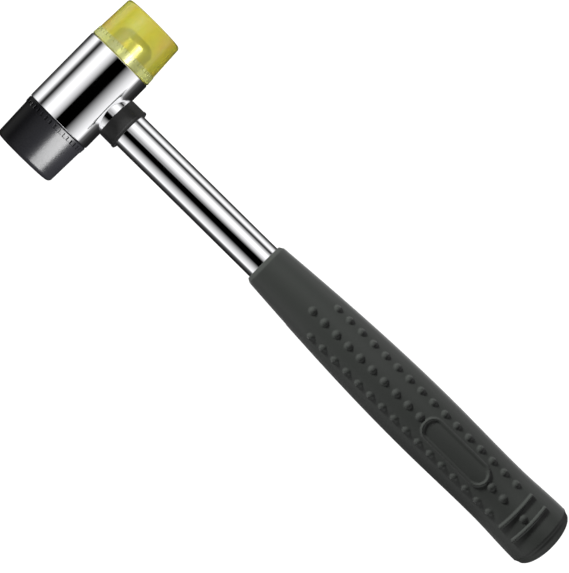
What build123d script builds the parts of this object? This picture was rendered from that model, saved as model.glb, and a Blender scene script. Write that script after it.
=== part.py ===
from build123d import *
import math
import os

os.makedirs("parts", exist_ok=True)

# Two-way soft mallet, in millimetres. It lies on its side with the barrel on the XY plane: +X runs along
# the handle from head to butt, +Y along the barrel to the yellow face, +Z is up. The origin is the middle
# of the footprint.

# Head barrel
barrel_dia = 25.0
barrel_edge = 0.35  # chamfer round each end
cross_bore_floor = 4.0  # steel left at the bottom of the blind cross bore
bore_wall = 1.0  # steel between the cross bore and each threaded socket

# Studs that screw into the barrel, one on each face
thread_dia = 12.0
thread_pitch = 1.5
thread_turns = 4
socket_spare = 1.0  # socket depth left past the end of the stud
stud_shoulder = 1.2  # radial step from the thread down to the core that the face is moulded on
stud_core_len = 9.5
stud_core_round = 3.0
stud_thread_edge = 0.6

# Faces: an inset is how far the surface lies inside the barrel's radius
face_len = 16.45  # from its seat on the barrel to the striking surface
flange_inset = 0.05
flange_edge = 0.4
notch_count = 40
notch_width = 0.75
notch_depth = 0.5
yellow_flange_top_inset = 0.3
yellow_flange_len = 3.3
yellow_root_inset = 0.45
yellow_tip_inset = 1.05
yellow_tip_round = 1.2
yellow_notch_start = 2.2
black_flange_top_inset = 0.17
black_flange_len = 2.2
black_root_inset = 0.4
black_tip_inset = 0.85
black_tip_round = 1.5
black_notch_start = 0.8

# Neck bush and collar round the top of the tube
neck_wall = 1.0
neck_land = 0.1  # least length of the bush, below the side of the barrel
collar_wall = 1.2
collar_len = 6.3
collar_lip_step = 0.2
collar_lip_len = 0.9
collar_round = 0.3

# Handle tube and the plug in its upper end
tube_dia = 13.0
tube_wall = 1.0
tube_edge = 0.3
plug_len = 14.0
plug_inset = 0.5

# Rubber grip: its length is from its upper end to the top of the domed butt
handle_reach = 213.65  # barrel axis to the butt
grip_len = 132.9
grip_top_wall = 1.4
grip_top_edge = 1.4  # length of the bevel at the upper end
grip_top_step = 0.75  # height of that bevel
swell_dia = 22.8
swell_back = 57.7  # from the butt, as are the next two
waist_dia = 22.0
waist_back = 26.2
heel_dia = 23.4
heel_back = 5.2
heel_edge = 1.0
outline_steps = 14
butt_wall = 7.0  # rubber past the end of the tube

# Relief moulded on the front and the back of the grip
bump_dia = 2.8
bump_height = 0.6
bump_pitch = 5.41
bump_first = 22.6  # from the grip's upper end
side_row_offset = 6.4
side_row_skip = 1  # the side rows start one pitch lower
panel_bumps = 5  # pitches that the oval panel takes out of the middle row
bumps_below_panel = 2
panel_gaps = 1.0  # between the panel's ends and the next bumps, both together
panel_width = 8.6
panel_rim = 1.2
panel_rim_height = 0.5
rib_back = (17.6, 11.7)  # from the butt
rib_width = 1.3
rib_height = 0.65
rib_half_angle = 42.0

# Clearances
running_gap = 0.05  # radial, where a piece turns or slides
fixed_gap = 0.02  # radial, where a piece is pressed, brazed or stretched on
seat_gap = 0.08  # between a face's flange and the end of the barrel
same_size = 0.001  # tolerance when an edge is picked by its radius

# Derived sizes and places
barrel_r = barrel_dia / 2
tube_r = tube_dia / 2
head_x = barrel_r - (barrel_r + handle_reach) / 2
head_centre = Vector(head_x, 0, barrel_r)
barrel_axis = Axis(head_centre, (0, 1, 0))
handle_axis = Axis(head_centre, (1, 0, 0))
handle_plane = Plane(head_centre, x_dir=(1, 0, 0), z_dir=(0, -1, 0))  # x along the handle, y is up
thread_len = thread_pitch * thread_turns
barrel_len = tube_dia + 2 * (bore_wall + socket_spare + thread_len)
seat = barrel_len / 2
stud_core_r = thread_dia / 2 - stud_shoulder
neck_r = tube_r + neck_wall
collar_r = tube_r + collar_wall
grip_top = handle_reach - grip_len
grip_top_dia = tube_dia + 2 * grip_top_wall
swell_at = grip_len - swell_back
waist_at = grip_len - waist_back
heel_at = grip_len - heel_back
rib_stations = [grip_len - back for back in rib_back]
row_bumps = 1 + int((rib_stations[0] - bump_pitch - bump_first) / bump_pitch)
panel_after = row_bumps - panel_bumps - bumps_below_panel  # bumps above the panel
collar_top = barrel_r + neck_land
tube_start = cross_bore_floor + tube_edge - barrel_r
tube_end = handle_reach - butt_wall


def barrel_side(side):
    # profile plane for one end of the barrel: x outward along the barrel, y is up
    return Plane(head_centre, x_dir=(0, side, 0), z_dir=(side, 0, 0))


def across_handle(station):
    # plane square to the handle, at a distance from the barrel axis
    return Plane(head_centre + Vector(station, 0, 0), x_dir=(0, 1, 0), z_dir=(1, 0, 0))


def across_barrel(side, station):
    # plane square to the barrel, facing outward
    return Plane(head_centre + Vector(0, side * station, 0), x_dir=(1, 0, 0), z_dir=(0, side, 0))


def grip_radius(station):
    # quarter sine up to the swell, then two cosine blends: in to the waist and out to the heel
    if station < swell_at:
        rise = math.sin(math.pi / 2 * station / swell_at)
        return (grip_top_dia + (swell_dia - grip_top_dia) * rise) / 2
    if station < waist_at:
        blend = (1 - math.cos(math.pi * (station - swell_at) / (waist_at - swell_at))) / 2
        return (swell_dia + (waist_dia - swell_dia) * blend) / 2
    blend = (1 - math.cos(math.pi * (station - waist_at) / (heel_at - waist_at))) / 2
    return (waist_dia + (heel_dia - waist_dia) * blend) / 2


def grip_outline(proud):
    # the grip's outside, raised by proud, in the handle plane
    spots = [grip_top_edge + (heel_at - grip_top_edge) * i / outline_steps for i in range(outline_steps + 1)]
    side_points = [(grip_top + s, grip_radius(s) + proud) for s in spots]
    heel_r = heel_dia / 2 + proud
    rim = (grip_top + heel_at + heel_edge, heel_r - heel_edge / 2)
    with BuildLine() as outline:
        Polyline((grip_top, 0), (grip_top, side_points[0][1] - grip_top_step), side_points[0])
        Spline(*side_points)
        Line(side_points[-1], rim)
        Spline(rim, (handle_reach + proud, 0), tangents=((1, -1), (0, -1)))
        Line((handle_reach + proud, 0), (grip_top, 0))
    return outline.wires()


# head barrel: bored across for the tube, and from both ends for the studs
with BuildPart() as head_barrel:
    # the circle starts underneath, so the line that the barrel rests on is its seam, clear of the cross bore
    with BuildSketch(Plane(head_centre - Vector(0, seat, 0), x_dir=(0, 0, -1), z_dir=(0, 1, 0))):
        Circle(barrel_r)
    extrude(amount=barrel_len)
    chamfer(head_barrel.edges().filter_by(GeomType.CIRCLE), length=barrel_edge)
    for side in (1, -1):
        with BuildSketch(across_barrel(side, seat)):
            Circle(thread_dia / 2 + running_gap)
        extrude(amount=-(thread_len + socket_spare), mode=Mode.SUBTRACT)
    with BuildSketch(across_handle(cross_bore_floor - barrel_r)):
        Circle(tube_r + fixed_gap)
    extrude(amount=barrel_dia, mode=Mode.SUBTRACT)
head_barrel.part.label = "head_barrel"

# neck bush: a short ring on the tube, saddled to the barrel
with BuildPart() as neck_bush:
    with BuildSketch(across_handle(collar_top)):
        Circle(neck_r)
        Circle(tube_r + fixed_gap, mode=Mode.SUBTRACT)
    extrude(amount=-barrel_r)
    with BuildSketch(across_barrel(1, 0)):
        Circle(barrel_r + fixed_gap)
    extrude(amount=barrel_len, both=True, mode=Mode.SUBTRACT)
neck_bush.part.label = "neck_bush"

# handle tube
with BuildPart() as handle_tube:
    with BuildSketch(across_handle(tube_start)):
        Circle(tube_r)
        Circle(tube_r - tube_wall, mode=Mode.SUBTRACT)
    extrude(amount=tube_end - tube_start)
    rings = handle_tube.edges().filter_by(GeomType.CIRCLE)
    chamfer(rings.filter_by(lambda ring: ring.radius > tube_r - tube_wall / 2), length=tube_edge)
handle_tube.part.label = "handle_tube"

# plug pressed into the tube where the barrel grips it
with BuildPart() as tube_plug:
    with BuildSketch(across_handle(tube_start + plug_inset)):
        Circle(tube_r - tube_wall - fixed_gap)
    extrude(amount=plug_len)
    chamfer(tube_plug.edges().filter_by(GeomType.CIRCLE), length=tube_edge)
tube_plug.part.label = "tube_plug"

# collar: a moulded ring with a small lip at its lower end
with BuildPart() as collar:
    with BuildSketch(across_handle(collar_top + seat_gap)):
        Circle(collar_r)
    extrude(amount=collar_len - seat_gap)
    with BuildSketch(across_handle(collar_top + collar_len - collar_lip_len)):
        Circle(collar_r + collar_lip_step)
    extrude(amount=collar_lip_len)
    fillet(collar.edges().filter_by(GeomType.CIRCLE).sort_by(Axis.X)[-1], radius=collar_round)
    with BuildSketch(across_handle(collar_top)):
        Circle(tube_r + fixed_gap)
    extrude(amount=collar_len, mode=Mode.SUBTRACT)
collar.part.label = "collar"

# grip: turned outline, relief on front and back, then the bore for the tube
side_row = [bump_first + bump_pitch * i for i in range(side_row_skip, row_bumps)]
middle_row = [bump_first + bump_pitch * i for i in range(row_bumps)]
middle_row = middle_row[:panel_after] + middle_row[panel_after + panel_bumps :]
middle_row.append(sum(rib_stations) / 2)
bump_ball_r = (bump_dia**2 / 4 + bump_height**2) / (2 * bump_height)
bump_spots = [(s, 0.0) for s in middle_row]
bump_spots += [(s, offset) for s in side_row for offset in (side_row_offset, -side_row_offset)]
panel_centre = bump_first + bump_pitch * (panel_after + (panel_bumps - 1) / 2)
panel_len = bump_pitch * (panel_bumps + 1) - bump_dia - panel_gaps

with BuildPart() as panel_rims:
    with BuildSketch(handle_plane):
        make_face(grip_outline(panel_rim_height))
    revolve(axis=handle_axis)
    with BuildSketch(Plane.XY.offset(barrel_r - heel_dia)):
        with Locations((head_x + grip_top + panel_centre, 0)):
            SlotOverall(panel_len, panel_width)
            SlotOverall(panel_len - 2 * panel_rim, panel_width - 2 * panel_rim, mode=Mode.SUBTRACT)
    extrude(amount=2 * heel_dia, mode=Mode.INTERSECT)

with BuildPart() as grip:
    with BuildSketch(handle_plane):
        make_face(grip_outline(0))
    revolve(axis=handle_axis)
    add(panel_rims.part)
    for turn in (0, 180):
        for station in rib_stations:
            rib_plane = handle_plane.rotated((turn - rib_half_angle, 0, 0))
            with BuildSketch(rib_plane):
                with Locations((grip_top + station, grip_radius(station))):
                    Ellipse(rib_width / 2, rib_height)
            revolve(axis=handle_axis, revolution_arc=2 * rib_half_angle)
    ball_centres = []
    for station, offset in bump_spots:
        ball_r = grip_radius(station) + bump_height - bump_ball_r
        surface_angle = math.asin(offset / grip_radius(station))
        ball_y = ball_r * math.sin(surface_angle)
        ball_z = ball_r * math.cos(surface_angle)
        for up in (1, -1):
            ball_centres.append(head_centre + Vector(grip_top + station, ball_y, up * ball_z))
    with Locations(*ball_centres):
        Sphere(bump_ball_r)
    with BuildSketch(across_handle(0)):
        Circle(tube_r + fixed_gap)
    extrude(amount=tube_end + fixed_gap, mode=Mode.SUBTRACT)
grip.part.label = "grip"


def stud_body(side):
    # thread blank inside the barrel, and the rounded core that holds the face
    with BuildPart() as stud:
        with BuildSketch(across_barrel(side, seat - thread_len)):
            Circle(thread_dia / 2)
        extrude(amount=thread_len)
        chamfer(stud.edges().filter_by(GeomType.CIRCLE), length=stud_thread_edge)
        with BuildSketch(across_barrel(side, seat - stud_thread_edge)):
            Circle(stud_core_r)
        extrude(amount=stud_core_len + stud_thread_edge)
        tip = stud.edges().filter_by(GeomType.CIRCLE).sort_by(Axis.Y)[-1 if side > 0 else 0]
        fillet(tip, radius=stud_core_round)
    return stud.part


def face_body(side, flange_top_inset, flange_len, root_inset, tip_inset, tip_round, notch_start):
    # striking face: flange on the barrel side, tapered body, notches round the flange
    foot = seat + seat_gap
    tip = seat + face_len
    flange_r = barrel_r - flange_inset
    core_hole_r = stud_core_r + running_gap
    with BuildPart() as face:
        with BuildSketch(barrel_side(side)):
            with BuildLine():
                Polyline(
                    (foot, 0),
                    (foot, flange_r - flange_edge),
                    (foot + flange_edge, flange_r),
                    (foot + flange_len, barrel_r - flange_top_inset),
                    (foot + flange_len, barrel_r - root_inset),
                    (tip, barrel_r - tip_inset),
                    (tip, 0),
                    close=True,
                )
            make_face()
        revolve(axis=barrel_axis)
        rim = face.edges().filter_by(GeomType.CIRCLE).sort_by(Axis.Y)[-1 if side > 0 else 0]
        fillet(rim, radius=tip_round)
        with BuildSketch(across_barrel(side, foot + notch_start)):
            with PolarLocations(flange_r, notch_count):
                Rectangle(2 * notch_depth, notch_width)
        extrude(amount=flange_len - notch_start, mode=Mode.SUBTRACT)
        with BuildSketch(across_barrel(side, foot)):
            Circle(core_hole_r)
        extrude(amount=stud_core_len + running_gap - seat_gap, mode=Mode.SUBTRACT)
        hole_rims = face.edges().filter_by(GeomType.CIRCLE)
        hole_rims = hole_rims.filter_by(lambda rim: abs(rim.radius - core_hole_r) < same_size)
        fillet(hole_rims.sort_by(Axis.Y)[-1 if side > 0 else 0], radius=stud_core_round)
    return face.part


yellow_stud = stud_body(1)
yellow_stud.label = "yellow_stud"
black_stud = stud_body(-1)
black_stud.label = "black_stud"
yellow_face = face_body(
    1,
    yellow_flange_top_inset,
    yellow_flange_len,
    yellow_root_inset,
    yellow_tip_inset,
    yellow_tip_round,
    yellow_notch_start,
)
yellow_face.label = "yellow_face"
black_face = face_body(
    -1,
    black_flange_top_inset,
    black_flange_len,
    black_root_inset,
    black_tip_inset,
    black_tip_round,
    black_notch_start,
)
black_face.label = "black_face"

pieces = [head_barrel.part, neck_bush.part, handle_tube.part, tube_plug.part, collar.part, grip.part]
pieces += [yellow_stud, yellow_face, black_stud, black_face]
for piece in pieces:
    export_step(piece, f"parts/{piece.label}.step")
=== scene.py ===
import math

import bmesh
import bpy
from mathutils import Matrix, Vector


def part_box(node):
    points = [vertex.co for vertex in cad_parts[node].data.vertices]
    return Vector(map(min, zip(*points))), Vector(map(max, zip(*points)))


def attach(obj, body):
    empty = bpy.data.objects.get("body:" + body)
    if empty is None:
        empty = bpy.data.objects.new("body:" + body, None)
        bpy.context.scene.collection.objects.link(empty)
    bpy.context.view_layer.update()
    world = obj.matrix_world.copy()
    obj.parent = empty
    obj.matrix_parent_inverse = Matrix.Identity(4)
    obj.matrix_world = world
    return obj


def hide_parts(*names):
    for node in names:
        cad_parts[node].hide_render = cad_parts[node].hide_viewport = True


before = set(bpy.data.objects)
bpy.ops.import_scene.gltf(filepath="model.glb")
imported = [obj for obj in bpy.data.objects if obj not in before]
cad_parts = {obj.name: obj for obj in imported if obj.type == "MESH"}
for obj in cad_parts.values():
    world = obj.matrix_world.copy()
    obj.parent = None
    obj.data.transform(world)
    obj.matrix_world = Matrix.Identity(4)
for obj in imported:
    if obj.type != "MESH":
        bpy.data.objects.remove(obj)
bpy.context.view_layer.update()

mm = 0.001
hair = 0.01      # mm, keeps the two rings of a sharp step apart
onAxis = 1e-7    # mm, a smaller radius counts as none

# where things are, read from the frame
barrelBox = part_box("head_barrel")
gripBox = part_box("grip")
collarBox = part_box("collar")
headCentre = (barrelBox[0] + barrelBox[1]) / 2
barrelRadius = (barrelBox[1].x - barrelBox[0].x) / 2
barrelHalf = (barrelBox[1].y - barrelBox[0].y) / 2


def linear(hexColour):
    # sRGB hex to the linear values that shaders take
    channels = [int(hexColour[i:i + 2], 16) / 255 for i in (1, 3, 5)]
    return [c / 12.92 if c <= 0.04045 else ((c + 0.055) / 1.055) ** 2.4 for c in channels] + [1.0]


def addNode(tree, kind, links=None, values=None, **settings):
    # one node: settings on the node, values on its sockets, links from other nodes' outputs
    node = tree.nodes.new(kind)
    for name, value in settings.items():
        setattr(node, name, value)
    for socket, value in (values or {}).items():
        node.inputs[socket].default_value = value
    for socket, source in (links or {}).items():
        tree.links.new(source, node.inputs[socket])
    return node


def newMaterial(name):
    # an empty node material with its output and its place on the piece
    material = bpy.data.materials.new(name)
    material.use_nodes = True
    material.node_tree.nodes.clear()
    output = addNode(material.node_tree, "ShaderNodeOutputMaterial")
    place = addNode(material.node_tree, "ShaderNodeTexCoord").outputs["Object"]
    return material, material.node_tree, output, place


def setRamp(node, stops):
    # stops are (position, linear colour)
    elements = node.color_ramp.elements
    while len(elements) > 1:
        elements.remove(elements[-1])
    elements[0].position, elements[0].color = stops[0]
    for position, colour in stops[1:]:
        elements.new(position).color = colour
    return node


def spread(start, end, count):
    # evenly spaced values, both ends included
    return [start + (end - start) * i / (count - 1) for i in range(count)]


def evenAngles(count):
    return [2 * math.pi * i / count for i in range(count)]


def roundedProfile(corners, steps=5):
    # corners are (along, radius, corner round): each rounded one becomes a short arc
    points = []
    for i, (along, radius, corner) in enumerate(corners):
        here = Vector((along, radius))
        if not corner or i in (0, len(corners) - 1):
            points.append((along, radius))
            continue
        back = (Vector(corners[i - 1][:2]) - here).normalized()
        ahead = (Vector(corners[i + 1][:2]) - here).normalized()
        halfAngle = back.angle(ahead) / 2
        reach = corner / math.tan(halfAngle)
        middle = here + (back + ahead).normalized() * corner / math.sin(halfAngle)
        first = here + back * reach - middle
        last = here + ahead * reach - middle
        turn = first.angle(last)
        for t in spread(0, 1, steps):
            arm = (first * math.sin((1 - t) * turn) + last * math.sin(t * turn)) / math.sin(turn)
            points.append(tuple(middle + arm))
    return points


def turnedMesh(name, profile, angles, place, relief=None, closed=False, sharpAngle=35):
    # a surface of revolution with relief: place(along, radius, angle) gives the point in the frame
    mesh = bpy.data.meshes.new(name)
    bm = bmesh.new()
    rings = []
    for along, radius in profile:
        if radius < onAxis:
            rings.append([bm.verts.new(place(along, 0, 0))])
            continue
        ring = []
        for angle in angles:
            lift = relief(along, radius, angle) if relief else 0
            ring.append(bm.verts.new(place(along, radius + lift, angle)))
        rings.append(ring)
    pairs = list(zip(rings, rings[1:]))
    if closed:
        pairs.append((rings[-1], rings[0]))
    count = len(angles)
    for a, b in pairs:
        if len(a) == len(b) == 1:
            continue  # both lie on the axis
        for i in range(count):
            j = (i + 1) % count
            if len(a) == 1:
                bm.faces.new((a[0], b[j], b[i]))
            elif len(b) == 1:
                bm.faces.new((a[i], a[j], b[0]))
            else:
                bm.faces.new((a[i], a[j], b[j], b[i]))
    bmesh.ops.recalc_face_normals(bm, faces=bm.faces)
    bm.to_mesh(mesh)
    bm.free()
    mesh.shade_smooth()
    mesh.set_sharp_from_angle(angle=math.radians(sharpAngle))
    piece = bpy.data.objects.new(name, mesh)
    bpy.context.scene.collection.objects.link(piece)
    return piece


def alongHandle(along, radius, angle):
    # angle from +Z towards +Y, distances in mm from the barrel axis
    return Vector((
        headCentre.x + along * mm,
        radius * mm * math.sin(angle),
        headCentre.z + radius * mm * math.cos(angle),
    ))


def alongBarrel(side):
    # the same for one end of the barrel: angle from +Z towards +X, distances from its middle
    def place(along, radius, angle):
        return Vector((
            headCentre.x + radius * mm * math.sin(angle),
            side * along * mm,
            headCentre.z + radius * mm * math.cos(angle),
        ))
    return place


def dress(piece, material):
    piece.data.materials.clear()
    piece.data.materials.append(material)


chromeLook = {
    "colour": "#F1F1F3",
    "rough": (0.02, 0.07),
    "hazePerMetre": 90.0,          # patches about 11 mm across
    "hazeRange": (0.35, 0.75),
    "buffing": 0.25,               # mm, real marks are 0.02 mm: coarser so that they show close up
    "buffingStrength": 0.012,
    "buffingDepth": 0.02,          # mm
}


def chromePlate():
    # bright chrome on polished steel: mirror sharp, with faint haze and very fine buffing marks
    look = chromeLook
    material, tree, output, place = newMaterial("chromePlateOnPolishedSteel")
    haze = addNode(tree, "ShaderNodeTexNoise", {"Vector": place},
                   {"Scale": look["hazePerMetre"], "Detail": 3.0})
    rough = addNode(tree, "ShaderNodeMapRange", {"Value": haze.outputs["Fac"]},
                    {"From Min": look["hazeRange"][0], "From Max": look["hazeRange"][1],
                     "To Min": look["rough"][0], "To Max": look["rough"][1]})
    marks = addNode(tree, "ShaderNodeTexNoise", {"Vector": place},
                    {"Scale": 1 / (look["buffing"] * mm), "Detail": 2.0})
    bump = addNode(tree, "ShaderNodeBump", {"Height": marks.outputs["Fac"]},
                   {"Strength": look["buffingStrength"], "Distance": look["buffingDepth"] * mm})
    shader = addNode(tree, "ShaderNodeBsdfPrincipled",
                     {"Roughness": rough.outputs["Result"], "Normal": bump.outputs["Normal"]},
                     {"Base Color": linear(look["colour"]), "Metallic": 1.0})
    tree.links.new(shader.outputs["BSDF"], output.inputs["Surface"])
    return material


steelLook = {
    "colour": "#B9B7B0",
    "stainColour": "#8E8B83",
    "stainsPerMetre": 300.0,
    "rough": (0.25, 0.45),
    "ringScale": 900.0,            # rings about 0.35 mm apart
    "ringStrength": 0.15,
    "ringDepth": 0.03,             # mm
}


def turnedSteel():
    # machined mild steel, zinc plated and dulled: stained grey metal with fine lathe rings
    look = steelLook
    material, tree, output, place = newMaterial("turnedZincDulledSteel")
    rings = addNode(tree, "ShaderNodeTexWave", {"Vector": place},
                    {"Scale": look["ringScale"], "Distortion": 1.5, "Detail": 2.0}, bands_direction="Y")
    bump = addNode(tree, "ShaderNodeBump", {"Height": rings.outputs["Fac"]},
                   {"Strength": look["ringStrength"], "Distance": look["ringDepth"] * mm})
    stain = addNode(tree, "ShaderNodeTexNoise", {"Vector": place},
                    {"Scale": look["stainsPerMetre"], "Detail": 4.0})
    colour = addNode(tree, "ShaderNodeMix", {"Factor": stain.outputs["Fac"]},
                     {"A": linear(look["colour"]), "B": linear(look["stainColour"])}, data_type="RGBA")
    rough = addNode(tree, "ShaderNodeMapRange", {"Value": stain.outputs["Fac"]},
                    {"To Min": look["rough"][0], "To Max": look["rough"][1]})
    shader = addNode(tree, "ShaderNodeBsdfPrincipled",
                     {"Base Color": colour.outputs["Result"], "Roughness": rough.outputs["Result"],
                      "Normal": bump.outputs["Normal"]}, {"Metallic": 1.0})
    tree.links.new(shader.outputs["BSDF"], output.inputs["Surface"])
    return material


# grain in mm; cloud is the scale of the faint patches
gripLook = {"colour": "#1C1D1C", "cloudColour": "#1A1C1A", "cloudPerMetre": 45.0, "grain": 0.25,
            "grainStrength": 0.2, "rough": 0.5, "specular": 0.3, "sheen": 0.04}
collarLook = {"colour": "#1B1B1B", "cloudColour": "#171717", "cloudPerMetre": 120.0, "grain": 0.2,
              "grainStrength": 0.2, "rough": 0.5, "specular": 0.4, "sheen": 0.1}
blackLook = {"colour": "#050506", "cloudColour": "#070708", "cloudPerMetre": 120.0, "grain": 0.4,
             "grainStrength": 0.05, "rough": 0.28, "specular": 0.06, "sheen": 0.0}
# the same in all three
moulding = {"ior": 1.5, "grainDepth": 0.05, "roughSpread": 0.05, "sheenRough": 0.35}


def mouldedFinish(name, look):
    # rubber or plastic from a spark-eroded mould: fine even grain, faint cloudy patches
    material, tree, output, place = newMaterial(name)
    cloud = addNode(tree, "ShaderNodeTexNoise", {"Vector": place},
                    {"Scale": look["cloudPerMetre"], "Detail": 2.0})
    colour = addNode(tree, "ShaderNodeMix", {"Factor": cloud.outputs["Fac"]},
                     {"A": linear(look["colour"]), "B": linear(look["cloudColour"])}, data_type="RGBA")
    grain = addNode(tree, "ShaderNodeTexNoise", {"Vector": place},
                    {"Scale": 1 / (look["grain"] * mm), "Detail": 2.0})
    bump = addNode(tree, "ShaderNodeBump", {"Height": grain.outputs["Fac"]},
                   {"Strength": look["grainStrength"], "Distance": moulding["grainDepth"] * mm})
    rough = addNode(tree, "ShaderNodeMapRange", {"Value": grain.outputs["Fac"]},
                    {"To Min": look["rough"] - moulding["roughSpread"],
                     "To Max": look["rough"] + moulding["roughSpread"]})
    shader = addNode(tree, "ShaderNodeBsdfPrincipled",
                     {"Base Color": colour.outputs["Result"], "Roughness": rough.outputs["Result"],
                      "Normal": bump.outputs["Normal"]},
                     {"IOR": moulding["ior"], "Specular IOR Level": look["specular"],
                      "Sheen Weight": look["sheen"], "Sheen Roughness": moulding["sheenRough"]})
    tree.links.new(shader.outputs["BSDF"], output.inputs["Surface"])
    return material


acetateLook = {
    "streaks": [(0.36, "#BEC04A"), (0.52, "#C6BE46"), (0.68, "#CAB046")],
    "streaksPerMetre": 130.0,
    "flangeColour": "#C8CC80",
    "flangeFade": (-0.2, 0.4),     # mm, before and past the flange's end
    "ripplesPerMetre": 250.0,
    "rippleStrength": 0.1,
    "rippleDepth": 0.1,            # mm
    "ior": 1.48,
    "rough": 0.08,
    "transmission": 0.6,
}


def mouldedAcetate():
    # tinted plastic from a polished mould: half clear and glossy, with honey-coloured streaks inside
    look = acetateLook
    material, tree, output, place = newMaterial("mouldedTintedAcetate")
    cloud = addNode(tree, "ShaderNodeTexNoise", {"Vector": place},
                    {"Scale": look["streaksPerMetre"], "Detail": 3.0, "Distortion": 0.6})
    colour = setRamp(addNode(tree, "ShaderNodeValToRGB", {"Fac": cloud.outputs["Fac"]}),
                     [(position, linear(tint)) for position, tint in look["streaks"]])
    # paler over the length of the flange
    height = addNode(tree, "ShaderNodeSeparateXYZ", {"Vector": place})
    flangeEnd = barrelHalf + yellowShape["flange"] * mm
    band = addNode(tree, "ShaderNodeMapRange", {"Value": height.outputs["Y"]},
                   {"From Min": flangeEnd + look["flangeFade"][0] * mm,
                    "From Max": flangeEnd + look["flangeFade"][1] * mm})
    tinted = addNode(tree, "ShaderNodeMix",
                     {"Factor": band.outputs["Result"], "B": colour.outputs["Color"]},
                     {"A": linear(look["flangeColour"])}, data_type="RGBA")
    ripple = addNode(tree, "ShaderNodeTexNoise", {"Vector": place},
                     {"Scale": look["ripplesPerMetre"], "Detail": 1.0})
    bump = addNode(tree, "ShaderNodeBump", {"Height": ripple.outputs["Fac"]},
                   {"Strength": look["rippleStrength"], "Distance": look["rippleDepth"] * mm})
    shader = addNode(tree, "ShaderNodeBsdfPrincipled",
                     {"Base Color": tinted.outputs["Result"], "Normal": bump.outputs["Normal"]},
                     {"IOR": look["ior"], "Roughness": look["rough"],
                      "Transmission Weight": look["transmission"]})
    tree.links.new(shader.outputs["BSDF"], output.inputs["Surface"])
    return material


thread = {
    "pitch": 1.5,          # mm a turn, right-hand
    "turns": 4,
    "ringsPerTurn": 16,
    "around": 96,          # points round the stud
    "crest": 5.98,         # radius, just inside the socket
    "depth": 0.82,
    "flank": 3.2,          # how steeply a groove's sides rise
    "rootFlat": 0.15,      # and the part of that rise lost to its flat bottom
    "leadIn": 0.7,
    "runOut": 0.3,         # plain length below the face
    "shoulder": 0.05,      # step to the core, above the seat
    "coreRadius": 4.82,    # the part that the face is moulded on
    "coreLength": 9.5,
    "coreRound": 3.0,
}


def threadRelief(along, angle, side):
    # a pointed thread with small flats: how far the surface lies below the crest
    phase = (side * along / thread["pitch"] - angle / (2 * math.pi)) % 1
    height = min(1, max(0, thread["flank"] * abs(phase - 0.5) - thread["rootFlat"]))
    return -thread["depth"] * (1 - height)


def makeStud(name, side, faceBody, node):
    # threaded stud: it turns with the face that is moulded on its core
    seat = barrelHalf / mm
    start = seat - thread["pitch"] * thread["turns"]
    shoulder = seat + thread["shoulder"]
    tip = seat + thread["coreLength"]
    crest, depth, leadIn = thread["crest"], thread["depth"], thread["leadIn"]
    rings = thread["ringsPerTurn"] * thread["turns"] + 1
    profile = [(start, 0), (start, crest - leadIn - depth / 2)]
    profile += [(along, crest) for along in spread(start + 2 * hair, seat, rings)]
    core = [(shoulder, crest, 0), (shoulder + hair, thread["coreRadius"], 0),
            (tip, thread["coreRadius"], thread["coreRound"]), (tip, 0, 0)]
    profile += roundedProfile(core, steps=14)

    def relief(along, radius, angle):
        if radius < crest:
            return 0
        if along > seat - thread["runOut"]:
            return -depth
        lead = along - start - leadIn
        return max(min(threadRelief(along, angle, side), lead, 0), -depth)

    stud = turnedMesh(name, profile, evenAngles(thread["around"]), alongBarrel(side), relief)
    dress(stud, steel)
    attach(stud, faceBody)
    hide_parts(node)
    return stud


faceShape = {
    # mm, the same for both faces
    "length": 16.45,
    "seatGap": 0.08,
    "rimInset": 0.05,      # the flange's foot inside the barrel's radius
    "footRound": 0.35,
    "topRound": 0.12,
    "notches": 40,
    "notchWidth": 0.75,
    "notchDepth": 0.5,
    "notchWall": 0.06,     # half of the run of a notch's walls
    "holeRadius": 4.8,
    "holeDepth": 9.5,
    "holeRound": 3.0,
}
yellowShape = {"top": 12.2, "flange": 3.3, "root": 12.05, "tip": 11.45, "round": 1.2, "notchStart": 2.2}
blackShape = {"top": 12.33, "flange": 2.2, "root": 12.1, "tip": 11.65, "round": 1.5, "notchStart": 0.8}


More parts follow.
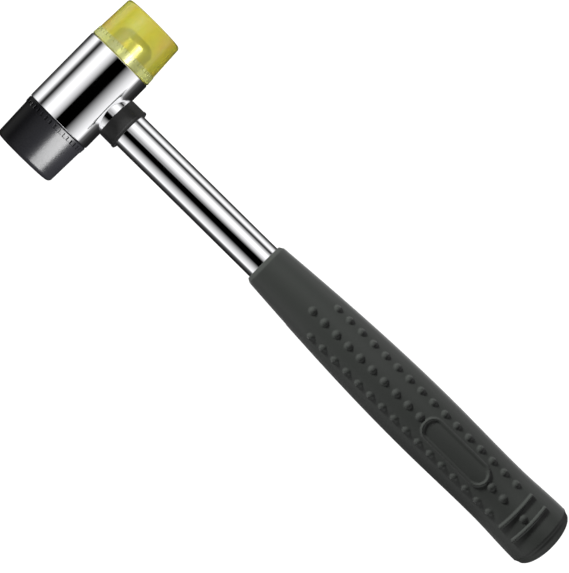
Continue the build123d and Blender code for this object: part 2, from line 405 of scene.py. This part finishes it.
def makeFace(name, side, shape, body, material):
    # striking face: flange with notches, tapered body, rounded rim, and the hole round the stud
    seat = barrelHalf / mm
    foot = seat + faceShape["seatGap"]
    tip = seat + faceShape["length"]
    footRadius = barrelRadius / mm - faceShape["rimInset"]
    flangeEnd = foot + shape["flange"]
    notchStart = foot + shape["notchStart"]
    notchTop = footRadius + (shape["top"] - footRadius) * shape["notchStart"] / shape["flange"]
    notchFloor = footRadius - faceShape["notchDepth"]
    wall = faceShape["notchWall"]
    hole, holeEnd = faceShape["holeRadius"], seat + faceShape["holeDepth"]
    outside = [
        (foot, hole, 0),
        (foot, footRadius, faceShape["footRound"]),
        (notchStart - wall, notchTop, 0),
        (notchStart + wall, notchTop, 0),
        (flangeEnd, shape["top"], faceShape["topRound"]),
        (flangeEnd + 2 * hair, shape["root"], 0),
        (tip, shape["tip"], shape["round"]),
        (tip, 0, 0),
    ]
    inside = [(holeEnd, 0, 0), (holeEnd, hole, faceShape["holeRound"]), (foot, hole, 0)]
    profile = roundedProfile(outside, steps=8) + roundedProfile(inside, steps=12)[:-1]
    pitch = 2 * math.pi / faceShape["notches"]
    notchHalf = faceShape["notchWidth"] / 2 / footRadius
    wallTurn = wall / footRadius
    offsets = [-pitch / 2, -pitch / 3, -notchHalf - wallTurn, -notchHalf + wallTurn, 0,
               notchHalf - wallTurn, notchHalf + wallTurn, pitch / 3]
    angles = [i * pitch + offset for i in range(faceShape["notches"]) for offset in offsets]

    def relief(along, radius, angle):
        nearest = abs((angle + pitch / 2) % pitch - pitch / 2)
        if notchStart < along < flangeEnd + hair and nearest < notchHalf and radius > notchFloor:
            return notchFloor - radius
        return 0

    piece = turnedMesh(name, profile, angles, alongBarrel(side), relief, closed=True)
    dress(piece, material)
    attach(piece, body)
    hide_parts(body)
    return piece


collarShape = {
    # mm
    "bore": 6.52,
    "radius": 7.7,
    "topRound": 0.25,
    "lip": 7.9,            # radius
    "lipLength": 0.9,
    "lipRise": 0.1,
    "lipRounds": (0.05, 0.08, 0.3),
    "around": 160,         # points round the ring
}


def makeCollar():
    # moulded ring: a plain sleeve with a small lip at its lower end
    c = collarShape
    start = (collarBox[0].x - headCentre.x) / mm
    end = (collarBox[1].x - headCentre.x) / mm
    lipStart = end - c["lipLength"]
    outline = [
        (start, c["bore"], 0),
        (start, c["radius"], c["topRound"]),
        (lipStart - c["lipRise"], c["radius"], c["lipRounds"][0]),
        (lipStart, c["lip"], c["lipRounds"][1]),
        (end, c["lip"], c["lipRounds"][2]),
        (end, c["bore"], 0),
    ]
    angles = evenAngles(c["around"])
    collar = turnedMesh("collarRing", roundedProfile(outline), angles, alongHandle, closed=True)
    dress(collar, collarPlastic)
    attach(collar, "handle")
    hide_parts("collar")
    return collar


gripShape = {
    # mm, and stations run from the grip's upper end
    "topRadius": 7.9, "topEdge": 1.4, "topStep": 0.75, "topRounds": (0.3, 1.0), "topSlope": 6,
    "bore": 6.52, "boreDepth": 125.92,
    "swellRadius": 11.4, "swellAt": 75.2, "waistRadius": 11.0, "waistAt": 106.7,
    "heelRadius": 11.7, "heelAt": 127.7, "heelEdge": 1.0, "creaseBack": 0.15, "creaseOut": 0.12,
    "domePower": 0.9, "domeRings": 20,
    "bumpRadius": 1.4, "bumpHeight": 0.6, "bumpPitch": 5.41, "bumpFirst": 22.6,
    "rowBumps": 17, "rowOffset": 6.4, "panelAfter": 10, "panelBumps": 5,
    "panelWidth": 8.6, "panelRim": 1.2, "panelGaps": 1.0, "panelRimHeight": 0.5, "panelRimPower": 0.7,
    "ribs": (115.3, 121.2), "ribWidth": 1.3, "ribHeight": 0.65, "ribAngle": 42, "ribEnd": 0.5,
    "seamHeight": 0.1, "seamWidth": 0.5, "seamZone": 0.2, "plainBefore": 3,
    # mesh spacing: rows along, fine columns over the front and back, a few on the sides
    "rowsFrom": 1, "rowStep": 0.27, "fineStep": 0.35, "fineAngle": 52, "sideColumns": 5,
}


def gripRadius(station):
    # quarter sine up to the swell, then cosine blends in to the waist and out to the heel
    g = gripShape
    if station < g["swellAt"]:
        rise = math.sin(math.pi / 2 * station / g["swellAt"])
        return g["topRadius"] + (g["swellRadius"] - g["topRadius"]) * rise
    if station < g["waistAt"]:
        blend = (1 - math.cos(math.pi * (station - g["swellAt"]) / (g["waistAt"] - g["swellAt"]))) / 2
        return g["swellRadius"] + (g["waistRadius"] - g["swellRadius"]) * blend
    blend = (1 - math.cos(math.pi * (station - g["waistAt"]) / (g["heelAt"] - g["waistAt"]))) / 2
    return g["waistRadius"] + (g["heelRadius"] - g["waistRadius"]) * blend


def bumpSpots():
    # (station, sideways offset) of every bump on one face of the grip
    g = gripShape
    stations = [g["bumpFirst"] + g["bumpPitch"] * i for i in range(g["rowBumps"])]
    middle = stations[:g["panelAfter"]] + stations[g["panelAfter"] + g["panelBumps"]:]
    middle.append(sum(g["ribs"]) / 2)    # the one between the ribs
    spots = [(s, 0) for s in middle]
    return spots + [(s, side * g["rowOffset"]) for s in stations[1:] for side in (1, -1)]


def gripProfile(top, butt):
    # blind bore, bevelled upper edge, long swell, crease at the heel, domed butt
    g = gripShape
    bevelled = g["topRadius"] - g["topStep"]
    edge = [(top, g["bore"], 0), (top, bevelled, g["topRounds"][0]),
            (top + g["topEdge"], gripRadius(g["topEdge"]), g["topRounds"][1]),
            (top + g["topSlope"], gripRadius(g["topSlope"]), 0)]
    profile = [(top + g["boreDepth"], 0), (top + g["boreDepth"], g["bore"]), (top, g["bore"])]
    profile += roundedProfile(edge)[1:-1]
    rowsStart = g["topEdge"] + g["rowsFrom"]
    rows = int((g["heelAt"] - g["topEdge"] - g["rowsFrom"]) / g["rowStep"])
    profile += [(top + s, gripRadius(s)) for s in spread(rowsStart, g["heelAt"], rows)]
    rim = top + g["heelAt"] + g["heelEdge"]
    rimRadius = g["heelRadius"] - g["heelEdge"] / 2
    profile.append((rim - g["creaseBack"], rimRadius + g["creaseOut"]))
    for t in spread(0, 1, g["domeRings"]):
        turn = t * math.pi / 2
        radius = rimRadius * math.cos(turn) ** g["domePower"] if t < 1 else 0
        profile.append((rim + (butt - rim) * math.sin(turn), radius))
    return profile


def gripColumns():
    # angles round the grip: close together where there are bumps, and on the moulding seams
    g = gripShape
    fine = math.radians(g["fineAngle"])
    front = spread(-fine, fine, int(2 * fine * g["swellRadius"] / g["fineStep"]))
    gap = (math.pi / 2 - fine) / g["sideColumns"]
    seamHalf = g["seamWidth"] / 2 / g["swellRadius"]
    side = [fine + gap * k for k in range(1, g["sideColumns"])]
    side += [math.pi / 2 + seamHalf * k for k in (-1.2, -0.9, -0.5, 0, 0.5, 0.9, 1.2)]
    side += [math.pi - fine - gap * k for k in range(g["sideColumns"] - 1, 0, -1)]
    return front + side + [angle + math.pi for angle in front + side]


def makeGrip():
    g = gripShape
    top = (gripBox[0].x - headCentre.x) / mm
    butt = (gripBox[1].x - headCentre.x) / mm
    spots = bumpSpots()
    ballRadius = (g["bumpRadius"] ** 2 + g["bumpHeight"] ** 2) / (2 * g["bumpHeight"])
    panelCentre = g["bumpFirst"] + g["bumpPitch"] * (g["panelAfter"] + (g["panelBumps"] - 1) / 2)
    panelLength = g["bumpPitch"] * (g["panelBumps"] + 1) - 2 * g["bumpRadius"] - g["panelGaps"]
    capRadius = (g["panelWidth"] - g["panelRim"]) / 2
    capCentre = (panelLength - g["panelWidth"]) / 2

    def relief(along, radius, angle):
        station = along - top
        # the plain upper end has nothing but the seam at +Y
        offSeam = abs(abs(angle) - math.pi / 2)
        if station < g["bumpFirst"] - g["plainBefore"] and offSeam > g["seamZone"]:
            return 0
        if station > g["heelAt"] or radius < gripRadius(station) - hair:
            return 0
        # fold the back on to the front, so both have the same pattern
        fromTop = (angle + math.pi / 2) % math.pi - math.pi / 2
        across = radius * fromTop
        lift = 0
        for spotStation, spotOffset in spots:
            if abs(station - spotStation) > g["bumpRadius"]:
                continue
            spotAcross = radius * math.asin(spotOffset / radius)
            away = math.hypot(station - spotStation, across - spotAcross)
            if away < g["bumpRadius"]:
                cap = math.sqrt(ballRadius ** 2 - away ** 2) - (ballRadius - g["bumpHeight"])
                lift = max(lift, cap)
        # the oval panel's rim
        beyond = max(0, abs(station - panelCentre) - capCentre)
        away = abs(math.hypot(beyond, across) - capRadius)
        if away < g["panelRim"] / 2:
            crown = math.cos(math.pi * away / g["panelRim"]) ** g["panelRimPower"]
            lift = max(lift, g["panelRimHeight"] * crown)
        for rib in g["ribs"]:
            away = abs(station - rib) / (g["ribWidth"] / 2)
            if away < 1:
                end = (math.radians(g["ribAngle"]) - abs(fromTop)) * radius
                rise = min(1, max(0, end / g["ribEnd"]))
                lift = max(lift, g["ribHeight"] * math.sqrt(1 - away ** 2) * math.sqrt(rise))
        seam = abs(math.pi / 2 - abs(fromTop)) * radius / (g["seamWidth"] / 2)
        if seam < 1:
            lift += g["seamHeight"] * (1 - seam ** 2)
        return lift

    grip = turnedMesh("gripSleeve", gripProfile(top, butt), gripColumns(), alongHandle, relief,
                      sharpAngle=50)
    dress(grip, gripRubber)
    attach(grip, "handle")
    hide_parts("grip")
    return grip


print("materials")
chrome = chromePlate()
steel = turnedSteel()
gripRubber = mouldedFinish("mouldedMattRubber", gripLook)
collarPlastic = mouldedFinish("mouldedMattPolypropylene", collarLook)
blackRubber = mouldedFinish("mouldedHardRubber", blackLook)
acetate = mouldedAcetate()

print("metal pieces")
for node in ("head_barrel", "neck_bush", "handle_tube"):
    dress(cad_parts[node], chrome)
dress(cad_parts["tube_plug"], steel)
yellowStud = makeStud("yellowStudThreaded", 1, "yellow_face", "yellow_stud")
makeStud("blackStudThreaded", -1, "black_face", "black_stud")

print("faces, collar and grip")
yellowFace = makeFace("yellowStrikingFace", 1, yellowShape, "yellow_face",
                      acetate)
blackFace = makeFace("blackStrikingFace", -1, blackShape, "black_face",
                     blackRubber)
collar = makeCollar()
collar.visible_glossy = False    # else its reflection draws a dark outline on the barrel
grip = makeGrip()


floorLook = {
    "half": 3.0,               # metres, centre to edge
    "fibresPerMetre": 900.0,
    "grey": (0.93, 0.95),      # linear
    "glow": 0.95,
}


def makeFloor():
    # white paper sweep with a glow of its own, so that shadows stay faint
    look = floorLook
    material, tree, output, place = newMaterial("paperSweep")
    fibre = addNode(tree, "ShaderNodeTexNoise", {"Vector": place},
                    {"Scale": look["fibresPerMetre"], "Detail": 2.0})
    tint = addNode(tree, "ShaderNodeMapRange", {"Value": fibre.outputs["Fac"]},
                   {"To Min": look["grey"][0], "To Max": look["grey"][1]})
    paper = addNode(tree, "ShaderNodeBsdfDiffuse", {"Color": tint.outputs["Result"]})
    glow = addNode(tree, "ShaderNodeEmission", values={"Strength": look["glow"]})
    both = addNode(tree, "ShaderNodeAddShader", {0: paper.outputs["BSDF"], 1: glow.outputs["Emission"]})
    tree.links.new(both.outputs["Shader"], output.inputs["Surface"])
    half = look["half"]
    corners = [(-half, -half, 0), (half, -half, 0), (half, half, 0), (-half, half, 0)]
    mesh = bpy.data.meshes.new("floorPaper")
    mesh.from_pydata(corners, [], [(0, 1, 2, 3)])
    floor = bpy.data.objects.new("floorPaper", mesh)
    bpy.context.scene.collection.objects.link(floor)
    mesh.materials.append(material)
    floor.visible_glossy = False
    floor.visible_diffuse = False


# the light tent, its panels and the gaps between them: (degrees from straight up, brightness 0 to 255)
tent = {
    # towards the head: camera opening, roof panel, seam, side panel, floor
    "headSide": [(0, 30), (10, 180), (30, 255), (45, 255), (66, 110), (71, 10), (77, 70), (92, 250),
                 (110, 225), (130, 90), (150, 30)],
    # towards the butt: black camera flag, roof panel, side panel, floor
    "buttSide": [(2, 0), (36, 0), (52, 150), (72, 215), (94, 250), (105, 100), (122, 50), (140, 30)],
    "strength": 1.25,
    "buttWay": (0.707, -0.707, 0),    # across the camera's view, towards the butt
    "blend": 0.25,                    # how gently one side passes into the other
    "fillLow": 0.15,                  # soft fill from the horizon down
    "fillHigh": 0.08,                 # and from above
    "fillTop": 0.7,                   # where above begins, as the sine of its height
}


def grey(value):
    # display brightness 0 to 255 to a linear grey
    return linear("#" + 3 * f"{value:02X}")


def makeWorld():
    # gloss sees the tent, matt surfaces its soft fill, the camera and clear plastic plain white
    world = bpy.data.worlds.new("lightTent")
    bpy.context.scene.world = world
    world.use_nodes = True
    tree = world.node_tree
    tree.nodes.clear()
    output = addNode(tree, "ShaderNodeOutputWorld")
    direction = addNode(tree, "ShaderNodeTexCoord").outputs["Generated"]
    parts = addNode(tree, "ShaderNodeSeparateXYZ", {"Vector": direction})
    angle = addNode(tree, "ShaderNodeMath", {0: parts.outputs["Z"]}, operation="ARCCOSINE")
    share = addNode(tree, "ShaderNodeMath", {0: angle.outputs["Value"]}, {1: math.pi},
                    operation="DIVIDE")
    ramps = []
    for stops in (tent["headSide"], tent["buttSide"]):
        ramp = addNode(tree, "ShaderNodeValToRGB", {"Fac": share.outputs["Value"]})
        ramps.append(setRamp(ramp, [(degrees / 180, grey(value)) for degrees, value in stops]))
    sideways = addNode(tree, "ShaderNodeVectorMath", {0: direction}, {1: tent["buttWay"]},
                       operation="DOT_PRODUCT")
    flat = addNode(tree, "ShaderNodeMath", {0: angle.outputs["Value"]}, operation="SINE")
    lean = addNode(tree, "ShaderNodeMath", {0: sideways.outputs["Value"], 1: flat.outputs["Value"]},
                   operation="DIVIDE")
    blend = addNode(tree, "ShaderNodeMapRange", {"Value": lean.outputs["Value"]},
                    {"From Min": -tent["blend"], "From Max": tent["blend"]},
                    interpolation_type="SMOOTHSTEP")
    colour = addNode(tree, "ShaderNodeMix",
                     {"Factor": blend.outputs["Result"], "A": ramps[0].outputs["Color"],
                      "B": ramps[1].outputs["Color"]}, data_type="RGBA")
    walls = addNode(tree, "ShaderNodeBackground", {"Color": colour.outputs["Result"]},
                    {"Strength": tent["strength"]})
    level = addNode(tree, "ShaderNodeMapRange", {"Value": parts.outputs["Z"]},
                    {"From Min": 0.0, "From Max": tent["fillTop"],
                     "To Min": tent["fillLow"], "To Max": tent["fillHigh"]})
    fill = addNode(tree, "ShaderNodeBackground", {"Strength": level.outputs["Result"]},
                   {"Color": (1, 1, 1, 1)})
    white = addNode(tree, "ShaderNodeBackground", values={"Color": (1, 1, 1, 1), "Strength": 1.0})
    path = addNode(tree, "ShaderNodeLightPath")
    seen = walls
    for ray, other in (("Is Diffuse Ray", fill), ("Is Camera Ray", white),
                       ("Is Transmission Ray", white)):
        seen = addNode(tree, "ShaderNodeMixShader",
                       {0: path.outputs[ray], 1: seen.outputs[0], 2: other.outputs[0]})
    tree.links.new(seen.outputs[0], output.inputs["Surface"])


headX, axisZ = headCentre.x, headCentre.z
panels = {
    # spot, aim and size in metres, power in watts; each lights only the pieces named
    "keyPanel": {"spot": (-1.0, 0.1, 0.3), "aim": (0, 0, axisZ), "size": (0.15, 0.15),
                 "power": 105.0, "only": [grip, collar]},
    "fillPanel": {"spot": (0.3, 0.3, 0.9), "aim": (0, 0, axisZ), "size": (0.8, 0.8),
                  "power": 4.0, "only": [yellowFace, blackFace, collar]},
    "buttPanel": {"spot": (0.9, -0.35, 0.06), "aim": (gripBox[1].x, 0, axisZ), "size": (0.3, 0.08),
                  "power": 14.0, "only": [grip]},
    "yellowPanel": {"spot": (headX - 0.3, 0.1, 0.6), "aim": (headX, 0.02, axisZ), "size": (0.3, 0.3),
                    "power": 4.0, "only": [yellowFace]},
    "sheenPanel": {"spot": (headX + 0.5, -0.022, 0.36), "aim": (headX, -0.022, axisZ),
                   "size": (0.34, 0.6), "power": 85.0, "only": [blackFace], "glossy": True},
    "studPanel": {"spot": (headX + 0.3, 0.1, 0.3), "aim": (headX, 0.02, axisZ), "size": (0.12, 0.12),
                  "power": 4.0, "only": [yellowStud], "glossy": True, "shadow": False},
}


def makePanel(name, spot, aim, size, power, only, glossy=False, shadow=True):
    # a soft box
    light = bpy.data.lights.new(name, "AREA")
    light.shape = "RECTANGLE"
    light.size, light.size_y = size
    light.energy = power
    light.use_shadow = shadow
    lamp = bpy.data.objects.new(name, light)
    lamp.location = spot
    lamp.rotation_mode = "QUATERNION"
    lamp.rotation_quaternion = (Vector(aim) - Vector(spot)).to_track_quat("-Z", "Y")
    lamp.visible_glossy = glossy
    lamp.visible_camera = False
    bpy.context.scene.collection.objects.link(lamp)
    receivers = bpy.data.collections.new(name + "Receivers")
    for piece in only:
        receivers.objects.link(piece)
    lamp.light_linking.receiver_collection = receivers


cameraSetting = {
    # looks straight down
    "height": 0.6125,
    "lens": 114.4,
    "sensor": 36.0,
    "turn": 44.6,                 # degrees about Z
    "aimFromButt": -0.12245,      # along X
    "aimAcross": -0.00074,        # along Y
}


def makeCamera():
    setting = cameraSetting
    cameraData = bpy.data.cameras.new("camera")
    cameraData.lens = setting["lens"]
    cameraData.sensor_width = setting["sensor"]
    camera = bpy.data.objects.new("camera", cameraData)
    camera.location = (gripBox[1].x + setting["aimFromButt"], setting["aimAcross"], setting["height"])
    camera.rotation_euler = (0, 0, math.radians(setting["turn"]))
    bpy.context.scene.collection.objects.link(camera)
    bpy.context.scene.camera = camera


print("floor, world and lights")
makeFloor()
makeWorld()
for name, panel in panels.items():
    makePanel(name, **panel)

print("camera and size")
makeCamera()
bpy.context.scene.view_settings.view_transform = "Standard"
